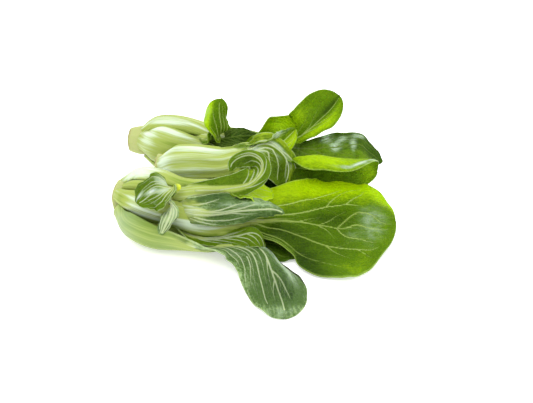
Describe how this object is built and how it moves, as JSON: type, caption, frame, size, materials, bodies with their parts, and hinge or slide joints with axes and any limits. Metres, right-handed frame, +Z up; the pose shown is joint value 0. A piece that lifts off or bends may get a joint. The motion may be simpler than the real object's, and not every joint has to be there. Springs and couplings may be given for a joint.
{
  "type": "bok choy bunch",
  "caption": "Bunch of baby bok choy heads lying side by side: thick pale stalks round a short cut stem, widening into waved green blades.",
  "frame": {"origin": "on the table under the middle of the bunch's bounding box", "axes": "+X along the heads from the cut butts towards the blades, +Y from the front head to the back head, +Z up"},
  "size_m": [0.214, 0.2114, 0.0733],
  "materials": {
    "pale_stalk": "smooth waxy stalk, pale green, satin",
    "waxy_leaf": "grey-green waxy leaf back with pale veins, satin",
    "green_leaf": "mid green leaf face with pale veins, satin",
    "crown": "cut stem, cream, slightly browned, matte",
    "bud": "yellow flower bud, matte"
  },
  "bodies": {
    "root": {"front_crown": "crown", "front_outer_leaf": "waxy_leaf", "front_big_leaf": "green_leaf", "front_hooked_leaf": "waxy_leaf", "front_folded_leaf": "waxy_leaf", "front_second_leaf": "waxy_leaf", "front_ruffled_leaf": "waxy_leaf", "front_dangling_leaf": "waxy_leaf", "front_back_leaf": "pale_stalk", "front_under_leaf": "green_leaf", "front_bottom_leaf": "green_leaf", "front_bud": "bud", "middle_crown": "crown", "middle_ribbed_leaf": "pale_stalk", "middle_rolled_leaf": "green_leaf", "middle_tip_up_leaf": "green_leaf", "middle_front_leaf": "green_leaf", "middle_bottom_leaf": "green_leaf", "back_crown": "crown", "back_belly_leaf": "pale_stalk", "back_top_leaf": "green_leaf", "back_upright_leaf": "green_leaf", "back_dark_leaf": "green_leaf", "back_right_leaf": "green_leaf", "back_bottom_leaf": "green_leaf"}
  },
  "joints": []
}
